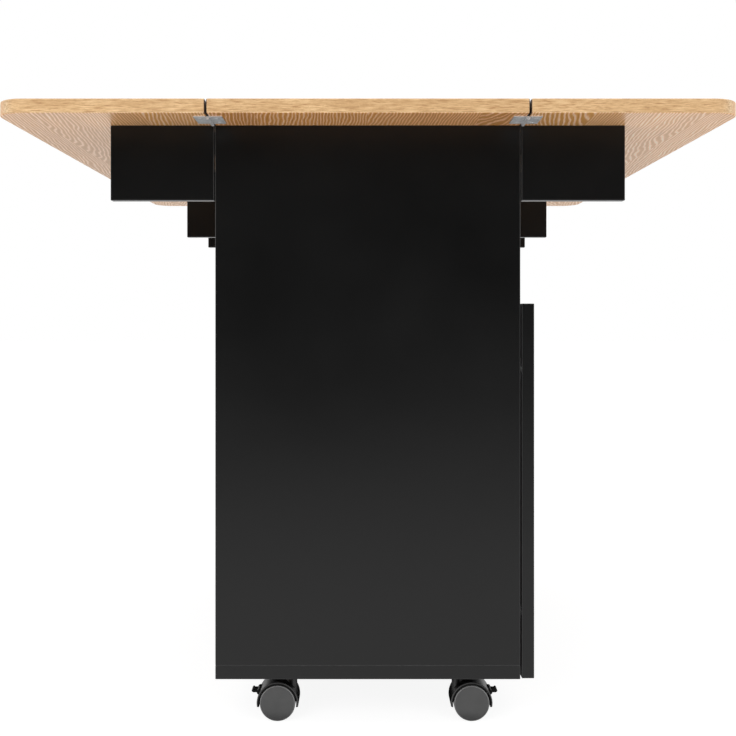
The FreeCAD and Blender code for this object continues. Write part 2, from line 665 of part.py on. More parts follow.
handle = handle_bar("handle_bar")
arms = []
catches = []
for name, start, edge, inward, panel, turn in (
    ("near_door", DOOR_START, DOOR_START, "+", BAY_NEAR, Rotation()),
    ("far_door", f"({DOOR_END} - {DOOR_WIDE})", DOOR_END, "-", PART_NEAR, ABOUT_X),
):
    outward = "-" if inward == "+" else "+"
    free = f"({edge} {inward} {DOOR_WIDE})"
    door = board(name, DOOR_BACK, start, DOOR_LOW, ex("{door_board}"), DOOR_WIDE, ex("{door_height}"))
    nodes[name] = door
    cup_y = f"({edge} {inward} (Sizes.cup_edge + Sizes.cup_radius))"
    pivot_y = f"({edge} {inward} Sizes.pivot_edge)"
    pivot_x = f"({DOOR_BACK} + Sizes.pivot_depth)"
    cups = []
    cup_pins = []
    for z in HINGE_LEVELS:
        bore(door, "x", DOOR_BACK, cup_y, z, CUP_HOLE, CUP_DEEP)
        cups.append(copy(name + "_cup", cup, DOOR_BACK, cup_y, z))
        cup_pins.append(copy(name + "_cup_pin", cup_pin, pivot_x, pivot_y, z))
        arms.append(copy(name + "_arm", arm, HALF, panel, z, turn))
    nodes[name + "_hinge_cups"] = group(name + "_hinge_cups", cups)
    nodes[name + "_hinge_pins"] = group(name + "_hinge_pins", cup_pins)
    handle_y = f"({free} {outward} Sizes.handle_edge)"
    handle_z = f"({DOOR_TOP} - Sizes.handle_below - Sizes.handle_length)"
    nodes[name + "_handle"] = copy(name + "_handle", handle, DOOR_FACE, handle_y, handle_z)
    catches.append(
        bar(
            name + "_catch",
            f"({DOOR_BACK} - Sizes.catch_play - Sizes.catch_length)",
            f"({free} {outward} Sizes.catch_edge - Sizes.catch_width / 2)",
            f"({NICHE_LOW} - Sizes.catch_height)",
            ex("{catch_length}"),
            ex("{catch_width}"),
            ex("{catch_height}"),
        )
    )
nodes["door_hinge_arms"] = group("door_hinge_arms", arms)
nodes["door_catches"] = group("door_catches", catches)

# A twin-wheel caster, drawn once with its swivel axis on Z, the floor at zero and the wheels trailing
# towards -X. The hood is an arch over the wheels with a round neck that carries the stem.
HUB_X = ex("0 - {trail}")
HUB_Z = ex("{wheel_radius}")
CAVITY = ex("{wheel_radius} + {wheel_play}")
SHELL = ex("{wheel_radius} + {wheel_play} + {hood_skin}")
HOOD_W = ex("{hood_width}")
HOOD_Y = ex("0 - {hood_width} / 2")
HOOD_HIGH = ex("{caster_height} - {hood_top}")
BRAKE_X = f"(0 - Sizes.trail - {SHELL} * 0.91)"
BRAKE_Z = f"(Sizes.wheel_radius + {SHELL} * 0.415)"
BRAKE_HALF = ex("{brake_width} / 2")
EAR_Y = ex("{brake_width} / 2 + 8 * {running_fit}")
EAR_W = ex("{hood_skin} + 0.5")

EAR_R = ex("{brake_barrel} + {hood_skin} / 6")
hood_solid = fuse(
    "hood_solid",
    [
        rod("hood_ring", "y", HUB_X, HOOD_Y, HUB_Z, SHELL, HOOD_W),
        rod("hood_neck", "z", ZERO, ZERO, HUB_Z, ex("{stem_radius} + 1.2 * {hood_skin}"), f"({HOOD_HIGH} - {HUB_Z})"),
        rod("hood_ear_a", "y", BRAKE_X, EAR_Y, BRAKE_Z, EAR_R, EAR_W),
        rod("hood_ear_b", "y", BRAKE_X, f"(0 - {EAR_Y} - {EAR_W})", BRAKE_Z, EAR_R, EAR_W),
    ],
)
# The outline of both sides is eased, which the side faces give away by lying square to the axle.
doc.recompute()
side = size("hood_width") / 2
ease = size("hood_ease")
outline = []
for number, edge in enumerate(hood_solid.Shape.Edges, start=1):
    box = edge.BoundBox
    if box.YLength < 0.001 and abs(abs(box.YMin) - side) < 0.001:
        outline.append((number, ease, ease))
hood_eased = doc.addObject("Part::Fillet", "hood_eased")
hood_eased.Base = hood_solid
hood_eased.Edges = outline
hood_shell = cut(
    "hood_shell",
    hood_eased,
    [
        rod("hood_cavity", "y", HUB_X, HOOD_Y, HUB_Z, CAVITY, HOOD_W),
        bar(
            "hood_open",
            f"({HUB_X} - 2 * {SHELL})",
            HOOD_Y,
            f"({HUB_Z} - 2 * {SHELL})",
            f"(4 * {SHELL})",
            HOOD_W,
            f"(2 * {SHELL} - 0.2 * {HUB_Z})",
        ),
        bar(
            "hood_notch",
            f"({HUB_X} - {SHELL})",
            f"(0 - {EAR_Y})",
            f"({HUB_Z} + {SHELL} * 0.2)",
            f"({SHELL} * 0.45)",
            f"(2 * {EAR_Y})",
            f"({SHELL} * 0.4)",
        ),
    ],
)
WEB_Y = ex("0 - {web} / 2")
WEB_W = ex("{web}")
BOSS = ex("3 * {axle_radius}")
hood_full = fuse(
    "hood_full",
    [
        hood_shell,
        bar("hood_web", f"({HUB_X} - {BOSS})", WEB_Y, HUB_Z, f"(2 * {BOSS})", WEB_W, f"({CAVITY} + 1)"),
        rod("hood_boss", "y", HUB_X, WEB_Y, HUB_Z, BOSS, WEB_W),
    ],
)
STEM_LOW = f"({HOOD_HIGH} - Sizes.stem_seat)"
hood = cut(
    "caster_hood",
    hood_full,
    [
        rod("hood_axle", "y", HUB_X, WEB_Y, HUB_Z, ex("{axle_radius} + {running_fit}"), WEB_W),
        rod(
            "hood_stem",
            "z",
            ZERO,
            ZERO,
            f"({STEM_LOW} - Sizes.knuckle_gap)",
            ex("{stem_radius} + {running_fit}"),
            ex("{stem_seat} + {knuckle_gap}"),
        ),
        rod(
            "hood_brake",
            "y",
            BRAKE_X,
            f"(0 - {EAR_Y} - {EAR_W})",
            BRAKE_Z,
            ex("{brake_pin} + {running_fit}"),
            f"(2 * ({EAR_Y} + {EAR_W}))",
        ),
    ],
)

# One wheel, on the +Y side of the wall: a plain disc with an eased tread, hollow inside round its hub.
wheel = doc.addObject("PartDesign::Body", "caster_wheel")
WHEEL_Y = ex("{web} / 2 + {web_play}")
WHEEL_W = ex("{wheel_width}")


def turned(kind, name, y, radius, length):
    """A round feature of the wheel, on its axle."""
    feature = wheel.newObject("PartDesign::" + kind, name)
    feature.Placement = Placement(Vector(), TURN["y"])
    bind(feature, Radius=radius, Height=length)
    return at(feature, ZERO, y, ZERO)


tread = turned("AdditiveCylinder", "wheel_tread", WHEEL_Y, HUB_Z, WHEEL_W)
eased = wheel.newObject("PartDesign::Fillet", "wheel_eased")
eased.Base = (tread, ["Edge1", "Edge3"])
bind(eased, Radius=ex("{wheel_radius} / 12"))
turned("SubtractiveCylinder", "wheel_hollow", WHEEL_Y, ex("0.8 * {wheel_radius}"), ex("0.6 * {wheel_width}"))
turned("AdditiveCylinder", "wheel_hub", WHEEL_Y, ex("2.6 * {axle_radius}"), ex("0.65 * {wheel_width}"))
AXLE_HOLE = ex("{axle_radius} + {seat_fit}")
turned("SubtractiveCylinder", "wheel_bore", WHEEL_Y, AXLE_HOLE, ex("0.75 * {wheel_width}"))
AXLE_HALF = ex("{web} / 2 + {web_play} + 0.73 * {wheel_width}")
axle = rod("axle_rod", "y", ZERO, f"(0 - {AXLE_HALF})", ZERO, ex("{axle_radius}"), f"(2 * {AXLE_HALF})")

# The brake lever, about its own pin: barrel, foot tab with a rounded end, and the lobe above the wheels.
TAB_END = ex("0 - 3 * {brake_barrel}")
TAB_HALF = ex("0.5 * {brake_barrel}")
LOBE_R = ex("0.625 * {brake_barrel}")
LOBE_OUT = ex("{brake_lobe} - 0.625 * {brake_barrel}")
BRAKE_W = ex("{brake_width}")
lever_blank = fuse(
    "lever_blank",
    [
        rod("lever_barrel", "y", ZERO, f"(0 - {BRAKE_HALF})", ZERO, ex("{brake_barrel}"), BRAKE_W),
        bar(
            "lever_tab",
            TAB_END,
            f"(0 - {BRAKE_HALF})",
            f"(0 - {TAB_HALF})",
            f"(0 - {TAB_END})",
            BRAKE_W,
            f"(2 * {TAB_HALF})",
        ),
        rod(
            "lever_toe",
            "y",
            TAB_END,
            f"(0 - {BRAKE_HALF})",
            ex("0.3 * {brake_barrel}"),
            ex("0.6 * {brake_barrel}"),
            BRAKE_W,
        ),
        rod(
            "lever_lobe",
            "y",
            f"({LOBE_OUT} * 0.688)",
            f"(0 - {BRAKE_HALF})",
            f"(0 - {LOBE_OUT} * 0.725)",
            LOBE_R,
            BRAKE_W,
        ),
    ],
)
LEVER_HOLE = ex("{brake_pin} + {seat_fit}")
lever = cut(
    "brake_lever",
    lever_blank,
    [rod("lever_hole", "y", ZERO, f"(0 - {BRAKE_HALF})", ZERO, LEVER_HOLE, BRAKE_W)],
)
PIN_HALF = f"({EAR_Y} + {EAR_W} - Sizes.knuckle_gap)"
lever_pin = rod("lever_pin", "y", ZERO, f"(0 - {PIN_HALF})", ZERO, ex("{brake_pin}"), f"(2 * {PIN_HALF})")

# The stem turns freely in the hood below its collar and screws into an insert in the bottom panel.
LIFT = ex("{caster_height}")
COLLAR_LOW = f"({HOOD_HIGH} + Sizes.swing_play)"
stem = fuse(
    "caster_stem",
    [
        rod("stem_pin", "z", ZERO, ZERO, STEM_LOW, ex("{stem_radius}"), f"({LIFT} - {STEM_LOW})"),
        rod("stem_collar", "z", ZERO, ZERO, COLLAR_LOW, ex("{collar_radius}"), f"({LIFT} - {COLLAR_LOW})"),
        rod("stem_thread_end", "z", ZERO, ZERO, LIFT, ex("{stem_thread}"), ex("{insert_length} - 0.5")),
    ],
)
INSERT = ex("{insert_length}")
insert = cut(
    "caster_insert",
    rod("insert_outer", "z", ZERO, ZERO, LIFT, ex("{insert_radius}"), INSERT),
    [rod("insert_inner", "z", ZERO, ZERO, LIFT, ex("{stem_thread} + {seat_fit}"), INSERT)],
)

stems = []
inserts = []
for end, y in (("near", f"({NEAR} + Sizes.caster_inset)"), ("far", f"({FAR} - Sizes.caster_inset)")):
    for side, x, sign, turn in (
        ("left", f"({LEFT} + Sizes.caster_rear)", "-", Rotation()),
        ("right", f"({HALF} - Sizes.caster_front)", "+", ABOUT_Z),
    ):
        name = f"{end}_{side}_caster"
        hub = f"({x} {sign} Sizes.trail)"
        toe = f"({x} {sign} (0 - {BRAKE_X}))"
        bore(bottom_panel, "z", x, y, LIFT, ex("{insert_radius} + {seat_fit}"), ex("{insert_length} + {seat_fit}"))
        stems.append(copy(name + "_stem", stem, x, y, ZERO, turn))
        inserts.append(copy(name + "_insert", insert, x, y, ZERO, turn))
        nodes[name + "_hood"] = copy(name + "_hood", hood, x, y, ZERO, turn)
        nodes[name + "_wheels"] = group(
            name + "_wheels",
            [
                copy(name + "_wheel", wheel, hub, y, HUB_Z),
                copy(name + "_wheel", wheel, hub, y, HUB_Z, ABOUT_Z),
                copy(name + "_axle", axle, hub, y, HUB_Z),
            ],
        )
        nodes[name + "_brake"] = group(
            name + "_brake",
            [
                copy(name + "_lever", lever, toe, y, BRAKE_Z, turn),
                copy(name + "_lever_pin", lever_pin, toe, y, BRAKE_Z, turn),
            ],
        )
nodes["caster_stems"] = group("caster_stems", stems)
nodes["caster_inserts"] = group("caster_inserts", inserts)

doc.recompute()
for thing in doc.Objects:
    if "Invalid" in thing.State or "Error" in thing.State:
        raise SystemExit(f"{thing.Name} did not rebuild: {thing.State}")
os.makedirs("parts", exist_ok=True)
for name, thing in nodes.items():
    shape = Part.getShape(thing)
    if shape.isNull() or not shape.isValid():
        raise SystemExit(f"{name} is not a valid shape")
    shape.exportStep(f"parts/{name}.step")
print(len(nodes), "nodes")
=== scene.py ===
# %% [markdown]
# # A kitchen island with two drop leaves
# The island is a black cabinet on four casters under an oak-look top. Its solids are already built to
# real size, so this lesson dresses them: a camera and light, one finish for each kind of surface, and
# the small fasteners that only matter to the eye.

# %% Load the fixed frame
import math

import bpy
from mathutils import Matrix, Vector


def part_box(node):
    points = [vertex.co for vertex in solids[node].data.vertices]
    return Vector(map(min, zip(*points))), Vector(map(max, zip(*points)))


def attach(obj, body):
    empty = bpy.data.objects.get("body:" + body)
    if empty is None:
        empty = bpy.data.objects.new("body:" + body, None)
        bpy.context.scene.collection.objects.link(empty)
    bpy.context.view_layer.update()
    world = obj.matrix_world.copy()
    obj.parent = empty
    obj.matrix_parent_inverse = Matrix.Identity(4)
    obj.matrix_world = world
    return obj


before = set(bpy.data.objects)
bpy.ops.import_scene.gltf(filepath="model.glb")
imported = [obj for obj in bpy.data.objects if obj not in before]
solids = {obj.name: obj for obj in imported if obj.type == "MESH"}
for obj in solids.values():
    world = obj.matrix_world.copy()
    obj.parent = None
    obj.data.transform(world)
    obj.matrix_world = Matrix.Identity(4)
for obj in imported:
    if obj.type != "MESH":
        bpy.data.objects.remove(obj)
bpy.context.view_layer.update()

# %% [markdown]
# ## Camera
# The island is seen square on from one end, from just above the middle of the cabinet, with a normal
# lens. A level camera keeps every upright truly upright, so the framing is finished with a little lens
# shift and not by tilting the camera.

# %% Level camera at the near end
EYE = (-0.0046, -1.942, 0.5826)
LENS_MM = 50
SENSOR_MM = 36
SHIFT_ACROSS = 0.0046
SHIFT_UP = -0.0618

bpy.context.scene.view_settings.view_transform = "Standard"
lens = bpy.data.cameras.new("end_view")
lens.lens = LENS_MM
lens.sensor_width = SENSOR_MM
lens.shift_x = SHIFT_ACROSS
lens.shift_y = SHIFT_UP
camera = bpy.data.objects.new("end_view", lens)
camera.location = EYE
camera.rotation_euler = (math.radians(90), 0, 0)
bpy.context.scene.collection.objects.link(camera)
bpy.context.scene.camera = camera
print("camera", [round(v, 3) for v in camera.location])

# %% [markdown]
# ## Helpers for finishes
# Every finish below is a tree of nodes that starts from Object coordinates, which are metres in the
# frame of the island. A pattern given in metres has the right scale on every board and stays put when a
# piece moves. Noise says where a tone or a roughness goes, and tones are laid over each other.

# %% Start a finish and give it to pieces
def start_finish(name):
    """A new material, its node tree, its shader and its coordinates."""
    finish = bpy.data.materials.new(name)
    finish.use_nodes = True
    tree = finish.node_tree
    place = tree.nodes.new("ShaderNodeTexCoord")
    return finish, tree, tree.nodes["Principled BSDF"], place


def dress(finish, names):
    """Give one finish to several solid pieces."""
    for name in names:
        mesh = solids[name].data
        mesh.materials.clear()
        mesh.materials.append(finish)
    print(finish.name, "on", len(names), "pieces")


print(len(bpy.data.materials), "materials before the first finish")

# %% Noise and arithmetic
NOISE_LOW = 0.3
NOISE_HIGH = 0.7


def add_node(tree, kind, settings):
    """A new node with some of its sockets set."""
    node = tree.nodes.new(kind)
    for socket, value in settings.items():
        node.inputs[socket].default_value = value
    return node


def speckle(tree, place, grain, detail=2, rough=0.5, turn=0, shift=(0, 0, 0)):
    """Noise about one half, as fine along each axis as the grain says, turned about Y and shifted."""
    aim = (0, math.radians(turn), 0)
    spot = add_node(tree, "ShaderNodeMapping", {"Scale": grain, "Rotation": aim, "Location": shift})
    noise = add_node(tree, "ShaderNodeTexNoise", {"Scale": 1, "Detail": detail, "Roughness": rough})
    tree.links.new(place.outputs["Object"], spot.inputs["Vector"])
    tree.links.new(spot.outputs["Vector"], noise.inputs["Vector"])
    return noise.outputs["Fac"]


def combine(tree, way, first, second=0):
    """One step of arithmetic on two values, each a socket or a number."""
    node = tree.nodes.new("ShaderNodeMath")
    node.operation = way
    for socket, value in zip(node.inputs, (first, second)):
        if isinstance(value, (int, float)):
            socket.default_value = value
        else:
            tree.links.new(value, socket)
    return node.outputs["Value"]


def spread(tree, value, low, high, start=NOISE_LOW, end=NOISE_HIGH):
    """A value between start and end becomes one between low and high."""
    settings = {"From Min": start, "From Max": end, "To Min": low, "To Max": high}
    node = add_node(tree, "ShaderNodeMapRange", settings)
    tree.links.new(value, node.inputs["Value"])
    return node.outputs["Result"]


print("noise mostly lies between", NOISE_LOW, "and", NOISE_HIGH)

# %% Tones and relief
def shades(tree, value, stops):
    """A value becomes a colour, by stops of place and colour."""
    node = tree.nodes.new("ShaderNodeValToRGB")
    bar = node.color_ramp
    while len(bar.elements) < len(stops):
        bar.elements.new(0.5)
    for element, (spot, colour) in zip(bar.elements, stops):
        element.position = spot
        element.color = (*colour, 1)
    tree.links.new(value, node.inputs["Fac"])
    return node.outputs["Color"]


def two_tones(tree, noise, first, second):
    """Noise becomes a colour between two tones."""
    return shades(tree, noise, [(NOISE_LOW, first), (NOISE_HIGH, second)])


def layer(tree, amount, under, over, way="MIX"):
    """One colour laid over another by an amount that varies over the surface."""
    node = tree.nodes.new("ShaderNodeMix")
    node.data_type = "RGBA"
    node.blend_type = way
    tree.links.new(amount, node.inputs["Factor"])
    tree.links.new(under, node.inputs["A"])
    tree.links.new(over, node.inputs["B"])
    return node.outputs["Result"]


def relief(tree, shader, height, depth, strength):
    """Bump from a height between 0 and 1, depth in metres."""
    node = add_node(tree, "ShaderNodeBump", {"Distance": depth, "Strength": strength})
    tree.links.new(height, node.inputs["Height"])
    tree.links.new(node.outputs["Normal"], shader.inputs["Normal"])


def grey(level):
    """A neutral tone, or the same grain along all three axes."""
    return (level, level, level)


print("a grey tone:", grey(0.5))

# %% Which way a surface faces
def axes_of(tree, vector):
    """The X, Y and Z of a vector."""
    node = tree.nodes.new("ShaderNodeSeparateXYZ")
    tree.links.new(vector, node.inputs["Vector"])
    return [node.outputs[axis] for axis in "XYZ"]


def facing(tree, place):
    """How squarely a surface faces each of the three axes, from 0 to 1."""
    return [combine(tree, "ABSOLUTE", part) for part in axes_of(tree, place.outputs["Normal"])]


print("a surface that faces an axis squarely reads 1 there")

# %% [markdown]
# ## Oak-look top
# The top is faced with an oak print: flat-sawn planks side by side along the island, each with its own
# shade and its own arched figure, over fine pores. The figure is strongest on the undersides and faint
# on the upper face, which is bleached a little. The end edges carry a strip of short flecks, paler where
# it bends round the corners, and the edges inside the joints are painted dark as shade in the joints.
#
# A flat-sawn figure is what a plane shows when it cuts the rings of a leaning trunk, so each plank gets
# rings from a Wave texture about a trunk of its own. A painted picture would do too, but rings in metres
# stay sharp.

# %% Oak figure
PLANK = 0.155
# A trunk stands aside by this many metres, times a chance of at least so much, at about this height.
TRUNK_ASIDE = 0.042
LEAST_ASIDE = 2.2
TRUNK_HEIGHT = 0.75
# It differs in height from plank to plank, drops along the island, and its rings waver in long waves.
TRUNK_DROP = 0.05
TRUNK_LEAN = 0.12
WAVER_ALONG = 0.22
SECOND_DRAW = 40.5
RINGS = {"Scale": 78, "Distortion": 10, "Detail": 2, "Detail Scale": 0.42, "Detail Roughness": 0.55}


def chance(tree, value):
    """A fixed number between 0 and 1 for each value."""
    node = tree.nodes.new("ShaderNodeTexWhiteNoise")
    node.noise_dimensions = "1D"
    tree.links.new(value, node.inputs["W"])
    return node.outputs["Value"]


def plank_rings(tree, place, seed, side):
    """Rings of one leaning trunk beside each plank, and a number that tells the planks apart."""
    x, y, z = axes_of(tree, place.outputs["Object"])
    count = combine(tree, "FLOOR", combine(tree, "DIVIDE", x, PLANK))
    number = combine(tree, "ADD", count, seed)
    luck = chance(tree, number)
    other = chance(tree, combine(tree, "ADD", number, SECOND_DRAW))
    across = combine(tree, "SUBTRACT", combine(tree, "FLOORED_MODULO", x, PLANK), PLANK / 2)
    aside = combine(tree, "MULTIPLY", combine(tree, "ADD", luck, LEAST_ASIDE), side * TRUNK_ASIDE)
    lean = combine(tree, "MULTIPLY", y, TRUNK_LEAN)
    drop = combine(tree, "ADD", combine(tree, "MULTIPLY", other, TRUNK_DROP), lean)
    above = combine(tree, "ADD", combine(tree, "SUBTRACT", z, TRUNK_HEIGHT), drop)
    spot = tree.nodes.new("ShaderNodeCombineXYZ")
    tree.links.new(combine(tree, "ADD", across, aside), spot.inputs["X"])
    tree.links.new(combine(tree, "MULTIPLY", y, WAVER_ALONG), spot.inputs["Y"])
    tree.links.new(above, spot.inputs["Z"])
    rings = add_node(tree, "ShaderNodeTexWave", RINGS)
    rings.wave_type = "RINGS"
    rings.rings_direction = "Y"
    tree.links.new(spot.outputs["Vector"], rings.inputs["Vector"])
    return rings.outputs["Fac"], luck


print("planks of", PLANK, "m")

# %% Oak faces
FACE_OAK = (0.72, 0.375, 0.15)
PALE_FACE = (0.85, 0.46, 0.195)
PLANK_TONES = [(0.0, (0.92, 0.9, 0.88)), (0.5, (1, 1, 1)), (1.0, (1.06, 1.07, 1.08))]
RING_TONES = [(0.1, (0.82, 0.72, 0.36)), (0.62, (0.96, 0.93, 0.82)), (0.94, (1.42, 1.78, 3.0))]
BLEACH_TONES = ((0.86, 1.0, 1.25), (0.88, 1.02, 1.3))
CLOUD_GRAIN = (14, 2.2, 14)
LEAST_PLANK_TONE = 0.8
RINGS_ABOVE = 0.4
RINGS_ON_EDGES = 0.3
RINGS_IN_PORES = 0.6
DOWN_TO_UP = (-0.5, 0.5)
FACE_TO_EDGE = (0.3, 0.8)


def tinted(colour, shade):
    """A colour multiplied by a shade."""
    return tuple(c * s for c, s in zip(colour, shade))


def oak_face(tree, place, fibres, seed, side, shade):
    """Colour of the broad faces and the long edges, and the rings that it shows."""
    rings, luck = plank_rings(tree, place, seed, side)
    upward = axes_of(tree, place.outputs["Normal"])[2]
    sideways = facing(tree, place)[0]
    clouds = speckle(tree, place, CLOUD_GRAIN, shift=(seed, seed, 0))
    face = two_tones(tree, clouds, tinted(FACE_OAK, shade), tinted(PALE_FACE, shade))
    toned = spread(tree, clouds, LEAST_PLANK_TONE, 1)
    face = layer(tree, toned, face, shades(tree, luck, PLANK_TONES), "MULTIPLY")
    shown = spread(tree, upward, 1, RINGS_ABOVE, *DOWN_TO_UP)
    shown = combine(tree, "MULTIPLY", shown, spread(tree, fibres, RINGS_IN_PORES, 1))
    shown = combine(tree, "MULTIPLY", shown, spread(tree, sideways, 1, RINGS_ON_EDGES, *FACE_TO_EDGE))
    face = layer(tree, shown, face, shades(tree, rings, RING_TONES), "MULTIPLY")
    bleach = two_tones(tree, clouds, *BLEACH_TONES)
    face = layer(tree, spread(tree, upward, 0, 1, *DOWN_TO_UP), face, bleach, "MULTIPLY")
    return face, rings


print("face tones", FACE_OAK, "to", PALE_FACE)

# %% Oak end edges and joints
EDGE_OAK = (0.605, 0.372, 0.174)
PALE_EDGE = (0.72, 0.468, 0.234)
FLECK_TONES = [(0.36, (0.62, 0.48, 0.37)), (0.5, (1, 1, 1)), (0.64, (1.22, 1.3, 1.42))]
BEND_TONES = [(0.4, (1.02, 1.1, 1.25)), (0.6, (1.15, 1.28, 1.5))]
# Painted shade: the edges inside the joints are near-black, as the narrow gaps are in shade.
JOINT_SHADE_TONES = ((0.05, 0.022, 0.01), (0.09, 0.04, 0.018))
FLECK_GRAIN = (52, 420, 600)
FLECK_TURN = 4
LEAST_FLECKS = 0.75
DRIFT_GRAIN = (14, 60, 90)
BEND_TO_END = (0.84, 0.96)
JOINT_TO_BOARD = (0.24, 0.26)


def oak_end(tree, place, seed):
    """Colour of the strip on the end edges."""
    endways = facing(tree, place)[1]
    flecks = speckle(tree, place, FLECK_GRAIN, detail=5, rough=0.72, turn=FLECK_TURN, shift=(seed, 0, 0))
    drift = speckle(tree, place, DRIFT_GRAIN, shift=(seed, 0, 0))
    edge = two_tones(tree, drift, EDGE_OAK, PALE_EDGE)
    flecked = spread(tree, drift, LEAST_FLECKS, 1)
    edge = layer(tree, flecked, edge, shades(tree, flecks, FLECK_TONES), "MULTIPLY")
    bend = spread(tree, endways, 1, 0, *BEND_TO_END)
    return layer(tree, bend, edge, shades(tree, flecks, BEND_TONES), "MULTIPLY")


def inside_joint(tree, place):
    """1 on the long edges that close the joints in the top, and 0 elsewhere."""
    x = axes_of(tree, place.outputs["Object"])[0]
    near_joint = spread(tree, combine(tree, "ABSOLUTE", x), 1, 0, *JOINT_TO_BOARD)
    return combine(tree, "MULTIPLY", spread(tree, facing(tree, place)[0], 0, 1), near_joint)


print("edge tones", EDGE_OAK, "to", PALE_EDGE)

# %% Oak boards
FIBRE_GRAIN = (420, 16, 420)
PORE_TONES = [(0.32, (0.44, 0.245, 0.10)), (0.5, PALE_FACE)]
PORE_DEPTH = 0.34
PORE_TO_WOOD = (0.3, 0.46)
FACE_TO_END = (0.6, 0.8)
OAK_GLOSS = (0.42, 0.32)
OAK_MIRROR = 0.65
RING_RELIEF = 0.5


def oak_board(name, seed, side, shade):
    """Planks on the faces, short flecks on the end edges, painted shade on the edges in the joints, pores
    all over.
    """
    finish, tree, shader, place = start_finish(name)
    fibres = speckle(tree, place, FIBRE_GRAIN, detail=4, rough=0.6)
    face, rings = oak_face(tree, place, fibres, seed, side, shade)
    on_end = spread(tree, facing(tree, place)[1], 0, 1, *FACE_TO_END)
    wood = layer(tree, on_end, face, oak_end(tree, place, seed))
    in_pore = spread(tree, fibres, PORE_DEPTH, 0, *PORE_TO_WOOD)
    wood = layer(tree, in_pore, wood, shades(tree, fibres, PORE_TONES))
    # Painted shade on the edges inside the joints.
    wood = layer(tree, inside_joint(tree, place), wood, two_tones(tree, fibres, *JOINT_SHADE_TONES))
    tree.links.new(wood, shader.inputs["Base Color"])
    tree.links.new(spread(tree, fibres, *OAK_GLOSS), shader.inputs["Roughness"])
    shader.inputs["Specular IOR Level"].default_value = OAK_MIRROR
    grain = combine(tree, "ADD", fibres, combine(tree, "MULTIPLY", rings, RING_RELIEF))
    relief(tree, shader, grain, depth=0.0004, strength=0.3)
    return finish


# The centre board is tinted warmer than the leaves: painted warm shade, for the strip of its underside that
# lies in the shade of the near supports.
dress(oak_board("oak_centre", seed=3.0, side=1, shade=(1.08, 0.99, 0.9)), ["centre_top"])
dress(oak_board("oak_left", seed=17.0, side=1, shade=(1.04, 1.04, 1.04)), ["left_leaf"])
dress(oak_board("oak_right", seed=29.0, side=-1, shade=(1.14, 1.15, 1.16)), ["right_leaf"])

# %% [markdown]
# ## Black cabinet boards
# The cabinet, doors, shelves and supports are boards with a satin black foil. A black surface is mostly
# seen by what it mirrors, so its colour is very dark and the work goes into roughness: a faint orange
# peel and a slow drift in gloss. The rounded edges are painted a little paler, as a painted highlight.

# %% Satin black finish
PEEL_GRAIN = 260
GLOSS_GRAIN = 5
FOIL_TONES = (grey(0.0034), grey(0.0048))
EDGE_HIGHLIGHT_TONES = (grey(0.05), grey(0.075))
FOIL_GLOSS = (0.31, 0.37)
FOIL_MIRROR = 0.38
ROUND_TO_FLAT = (0.85, 0.985)


def board_edge(tree, place):
    """1 on the rounded edges of a square board and 0 on its flats, which face an axis squarely."""
    x, y, z = facing(tree, place)
    square = combine(tree, "MAXIMUM", combine(tree, "MAXIMUM", x, y), z)
    return spread(tree, square, 1, 0, *ROUND_TO_FLAT)


def satin_black():
    """Black foil with orange peel and a painted highlight on its rounded edges."""
    finish, tree, shader, place = start_finish("satin_black_board")
    peel = speckle(tree, place, grey(PEEL_GRAIN))
    drift = speckle(tree, place, grey(GLOSS_GRAIN), detail=3, rough=0.55)
    flat = two_tones(tree, drift, *FOIL_TONES)
    # A painted highlight: the rounded edges are a paler grey than the flats.
    edge_highlight = two_tones(tree, peel, *EDGE_HIGHLIGHT_TONES)
    tree.links.new(layer(tree, board_edge(tree, place), flat, edge_highlight), shader.inputs["Base Color"])
    tree.links.new(spread(tree, drift, *FOIL_GLOSS), shader.inputs["Roughness"])
    shader.inputs["Specular IOR Level"].default_value = FOIL_MIRROR
    relief(tree, shader, peel, depth=0.0002, strength=0.12)
    return finish


painted = [
    "bottom_panel",
    "near_end_panel",
    "far_end_panel",
    "partition",
    "near_back_panel",
    "far_back_panel",
    "near_niche_floor",
    "far_niche_floor",
    "top_rails",
    "cabinet_shelf",
    "lower_open_shelf",
    "upper_open_shelf",
    "near_door",
    "far_door",
]
painted += [name for name in solids if name.endswith("_support")]
dress(satin_black(), painted)

# %% [markdown]
# ## Zinc-plated hinges and pins
# Hinges, shelf pins, caster stems and inserts are zinc-plated steel. Fresh zinc is a soft grey with a
# fine rolled grain and cloudy patches, duller than polished steel, so it is only partly metallic here.
# The hinges of the supports sit between black boards and are given a near-black tone of the same zinc,
# so they do not shine through the joints.

# %% Zinc finish
ROLLED_GRAIN = (900, 60, 900)
PATCH_GRAIN = 150
ZINC_GLOSS = (0.34, 0.52)
ZINC_METAL = 0.35


def zinc(name, dull, fresh):
    """Rolled, zinc-plated sheet between two tones."""
    finish, tree, shader, place = start_finish(name)
    rolled = speckle(tree, place, ROLLED_GRAIN, detail=3, rough=0.6)
    patches = speckle(tree, place, grey(PATCH_GRAIN), detail=3, rough=0.6)
    tree.links.new(two_tones(tree, patches, dull, fresh), shader.inputs["Base Color"])
    tree.links.new(spread(tree, rolled, *ZINC_GLOSS), shader.inputs["Roughness"])
    shader.inputs["Metallic"].default_value = ZINC_METAL
    relief(tree, shader, rolled, depth=0.0001, strength=0.2)
    return finish


zinc_plate = zinc("zinc_plate", dull=(0.62, 0.63, 0.64), fresh=(0.92, 0.93, 0.94))
black_zinc = zinc("black_zinc_plate", dull=grey(0.02), fresh=grey(0.04))
beside_black = [name for name in solids if "support_hinge" in name]
plated = [name for name in solids if "hinge" in name and name not in beside_black]
plated += ["shelf_pins", "caster_stems", "caster_inserts"]
dress(zinc_plate, plated)
dress(black_zinc, beside_black)

# %% [markdown]
# ## Hinge screws
# The hinges under the top and the feet of the door hinges are held by small cross-head screws. One head
# is modelled: a short cylinder with a softened rim and a cross cut into it. Every screw is a copy, and
# the copies on one moving body are joined, because a screw belongs to whatever it is driven into.

